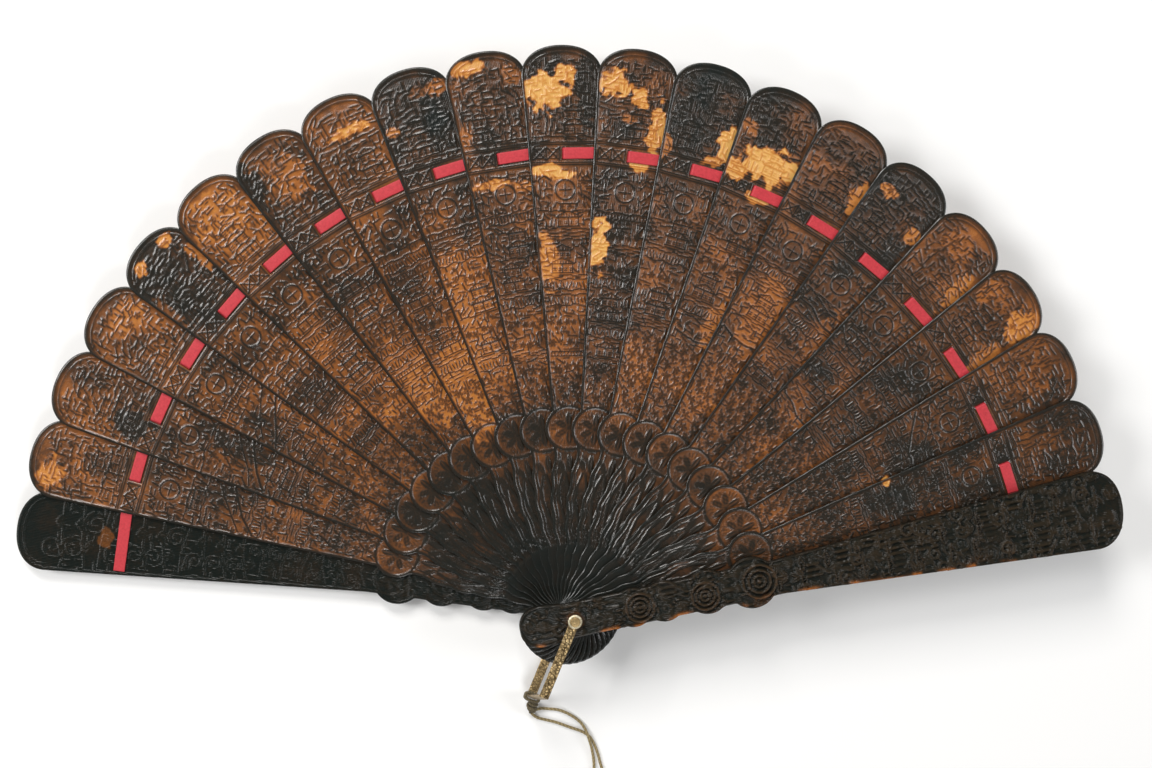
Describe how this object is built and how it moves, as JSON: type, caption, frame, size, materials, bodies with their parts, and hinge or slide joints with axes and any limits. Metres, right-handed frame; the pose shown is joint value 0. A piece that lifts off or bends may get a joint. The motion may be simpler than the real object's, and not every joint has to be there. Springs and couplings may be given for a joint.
{
  "type": "folding hand fan",
  "caption": "Brise folding hand fan: carved shell blades on a rivet, threaded with a ribbon, with a swinging bail and a wrist cord, shown open.",
  "frame": {"origin": "where the rivet's axis meets the surface that the open fan lies on, in the middle of the rivet's rear head", "axes": "+Z along the rivet towards the front guard, +X to the front guard's side along the fan's open width, +Y from the rivet towards the middle stick's tip"},
  "size_m": [0.3551, 0.2603, 0.0279],
  "materials": {
    "guard_shell": "polished and carved, nearly black mottled shell",
    "dark_shell": "polished and carved dark brown-black mottled shell",
    "brown_shell": "polished and carved brown mottled shell",
    "amber_shell": "polished and carved amber-brown mottled shell",
    "ribbon": "thin woven red ribbon",
    "gilt_brass": "old engraved gilt brass, dull in the hollows",
    "cord": "twisted gold-beige cord"
  },
  "bodies": {
    "rear_guard": {"rear_guard": "guard_shell", "ribbon_00": "ribbon", "rivet": "gilt_brass"},
    "stick_01": {"stick_01": "amber_shell", "ribbon_01": "ribbon"},
    "stick_02": {"stick_02": "amber_shell", "ribbon_02": "ribbon"},
    "stick_03": {"stick_03": "brown_shell", "ribbon_03": "ribbon"},
    "stick_04": {"stick_04": "dark_shell", "ribbon_04": "ribbon"},
    "stick_05": {"stick_05": "amber_shell", "ribbon_05": "ribbon"},
    "stick_06": {"stick_06": "brown_shell", "ribbon_06": "ribbon"},
    "stick_07": {"stick_07": "amber_shell", "ribbon_07": "ribbon"},
    "stick_08": {"stick_08": "dark_shell", "ribbon_08": "ribbon"},
    "stick_09": {"stick_09": "brown_shell", "ribbon_09": "ribbon"},
    "stick_10": {"stick_10": "amber_shell", "ribbon_10": "ribbon"},
    "stick_11": {"stick_11": "amber_shell", "ribbon_11": "ribbon"},
    "stick_12": {"stick_12": "dark_shell", "ribbon_12": "ribbon"},
    "stick_13": {"stick_13": "amber_shell", "ribbon_13": "ribbon"},
    "stick_14": {"stick_14": "brown_shell", "ribbon_14": "ribbon"},
    "stick_15": {"stick_15": "dark_shell", "ribbon_15": "ribbon"},
    "stick_16": {"stick_16": "amber_shell", "ribbon_16": "ribbon"},
    "stick_17": {"stick_17": "amber_shell", "ribbon_17": "ribbon"},
    "stick_18": {"stick_18": "brown_shell", "ribbon_18": "ribbon"},
    "stick_19": {"stick_19": "brown_shell", "ribbon_19": "ribbon"},
    "front_guard": {"front_guard": "guard_shell", "ribbon_20": "ribbon"},
    "bail": {"bail": "gilt_brass", "cord_knot": "cord", "cord_strand_a": "cord", "cord_strand_b": "cord", "cord_coil": "cord", "cord_tie": "cord"}
  },
  "joints": [
    {"name": "stick_01_fold", "type": "hinge", "parent": "rear_guard", "child": "stick_01", "pos_m": [0, 0, 0], "axis": [0, 0, 1], "range_deg": [0, 8]},
    {"name": "stick_02_fold", "type": "hinge", "parent": "rear_guard", "child": "stick_02", "pos_m": [0, 0, 0], "axis": [0, 0, 1], "range_deg": [0, 16]},
    {"name": "stick_03_fold", "type": "hinge", "parent": "rear_guard", "child": "stick_03", "pos_m": [0, 0, 0], "axis": [0, 0, 1], "range_deg": [0, 24]},
    {"name": "stick_04_fold", "type": "hinge", "parent": "rear_guard", "child": "stick_04", "pos_m": [0, 0, 0], "axis": [0, 0, 1], "range_deg": [0, 32]},
    {"name": "stick_05_fold", "type": "hinge", "parent": "rear_guard", "child": "stick_05", "pos_m": [0, 0, 0], "axis": [0, 0, 1], "range_deg": [0, 40]},
    {"name": "stick_06_fold", "type": "hinge", "parent": "rear_guard", "child": "stick_06", "pos_m": [0, 0, 0], "axis": [0, 0, 1], "range_deg": [0, 48]},
    {"name": "stick_07_fold", "type": "hinge", "parent": "rear_guard", "child": "stick_07", "pos_m": [0, 0, 0], "axis": [0, 0, 1], "range_deg": [0, 56]},
    {"name": "stick_08_fold", "type": "hinge", "parent": "rear_guard", "child": "stick_08", "pos_m": [0, 0, 0], "axis": [0, 0, 1], "range_deg": [0, 64]},
    {"name": "stick_09_fold", "type": "hinge", "parent": "rear_guard", "child": "stick_09", "pos_m": [0, 0, 0], "axis": [0, 0, 1], "range_deg": [0, 72]},
    {"name": "stick_10_fold", "type": "hinge", "parent": "rear_guard", "child": "stick_10", "pos_m": [0, 0, 0], "axis": [0, 0, 1], "range_deg": [0, 80]},
    {"name": "stick_11_fold", "type": "hinge", "parent": "rear_guard", "child": "stick_11", "pos_m": [0, 0, 0], "axis": [0, 0, 1], "range_deg": [0, 88]},
    {"name": "stick_12_fold", "type": "hinge", "parent": "rear_guard", "child": "stick_12", "pos_m": [0, 0, 0], "axis": [0, 0, 1], "range_deg": [0, 96]},
    {"name": "stick_13_fold", "type": "hinge", "parent": "rear_guard", "child": "stick_13", "pos_m": [0, 0, 0], "axis": [0, 0, 1], "range_deg": [0, 104]},
    {"name": "stick_14_fold", "type": "hinge", "parent": "rear_guard", "child": "stick_14", "pos_m": [0, 0, 0], "axis": [0, 0, 1], "range_deg": [0, 112]},
    {"name": "stick_15_fold", "type": "hinge", "parent": "rear_guard", "child": "stick_15", "pos_m": [0, 0, 0], "axis": [0, 0, 1], "range_deg": [0, 120]},
    {"name": "stick_16_fold", "type": "hinge", "parent": "rear_guard", "child": "stick_16", "pos_m": [0, 0, 0], "axis": [0, 0, 1], "range_deg": [0, 128]},
    {"name": "stick_17_fold", "type": "hinge", "parent": "rear_guard", "child": "stick_17", "pos_m": [0, 0, 0], "axis": [0, 0, 1], "range_deg": [0, 136]},
    {"name": "stick_18_fold", "type": "hinge", "parent": "rear_guard", "child": "stick_18", "pos_m": [0, 0, 0], "axis": [0, 0, 1], "range_deg": [0, 144]},
    {"name": "stick_19_fold", "type": "hinge", "parent": "rear_guard", "child": "stick_19", "pos_m": [0, 0, 0], "axis": [0, 0, 1], "range_deg": [0, 152]},
    {"name": "front_guard_fold", "type": "hinge", "parent": "rear_guard", "child": "front_guard", "pos_m": [0, 0, 0], "axis": [0, 0, 1], "range_deg": [0, 160]},
    {"name": "bail_swing", "type": "hinge", "parent": "rear_guard", "child": "bail", "pos_m": [0, 0, 0], "axis": [0, 0, 1], "range_deg": [-45, 90]}
  ],
  "couplings": [
    {"joint": "stick_01_fold", "follows": "front_guard_fold", "ratio": 0.05},
    {"joint": "stick_02_fold", "follows": "front_guard_fold", "ratio": 0.1},
    {"joint": "stick_03_fold", "follows": "front_guard_fold", "ratio": 0.15},
    {"joint": "stick_04_fold", "follows": "front_guard_fold", "ratio": 0.2},
    {"joint": "stick_05_fold", "follows": "front_guard_fold", "ratio": 0.25},
    {"joint": "stick_06_fold", "follows": "front_guard_fold", "ratio": 0.3},
    {"joint": "stick_07_fold", "follows": "front_guard_fold", "ratio": 0.35},
    {"joint": "stick_08_fold", "follows": "front_guard_fold", "ratio": 0.4},
    {"joint": "stick_09_fold", "follows": "front_guard_fold", "ratio": 0.45},
    {"joint": "stick_10_fold", "follows": "front_guard_fold", "ratio": 0.5},
    {"joint": "stick_11_fold", "follows": "front_guard_fold", "ratio": 0.55},
    {"joint": "stick_12_fold", "follows": "front_guard_fold", "ratio": 0.6},
    {"joint": "stick_13_fold", "follows": "front_guard_fold", "ratio": 0.65},
    {"joint": "stick_14_fold", "follows": "front_guard_fold", "ratio": 0.7},
    {"joint": "stick_15_fold", "follows": "front_guard_fold", "ratio": 0.75},
    {"joint": "stick_16_fold", "follows": "front_guard_fold", "ratio": 0.8},
    {"joint": "stick_17_fold", "follows": "front_guard_fold", "ratio": 0.85},
    {"joint": "stick_18_fold", "follows": "front_guard_fold", "ratio": 0.9},
    {"joint": "stick_19_fold", "follows": "front_guard_fold", "ratio": 0.95}
  ]
}
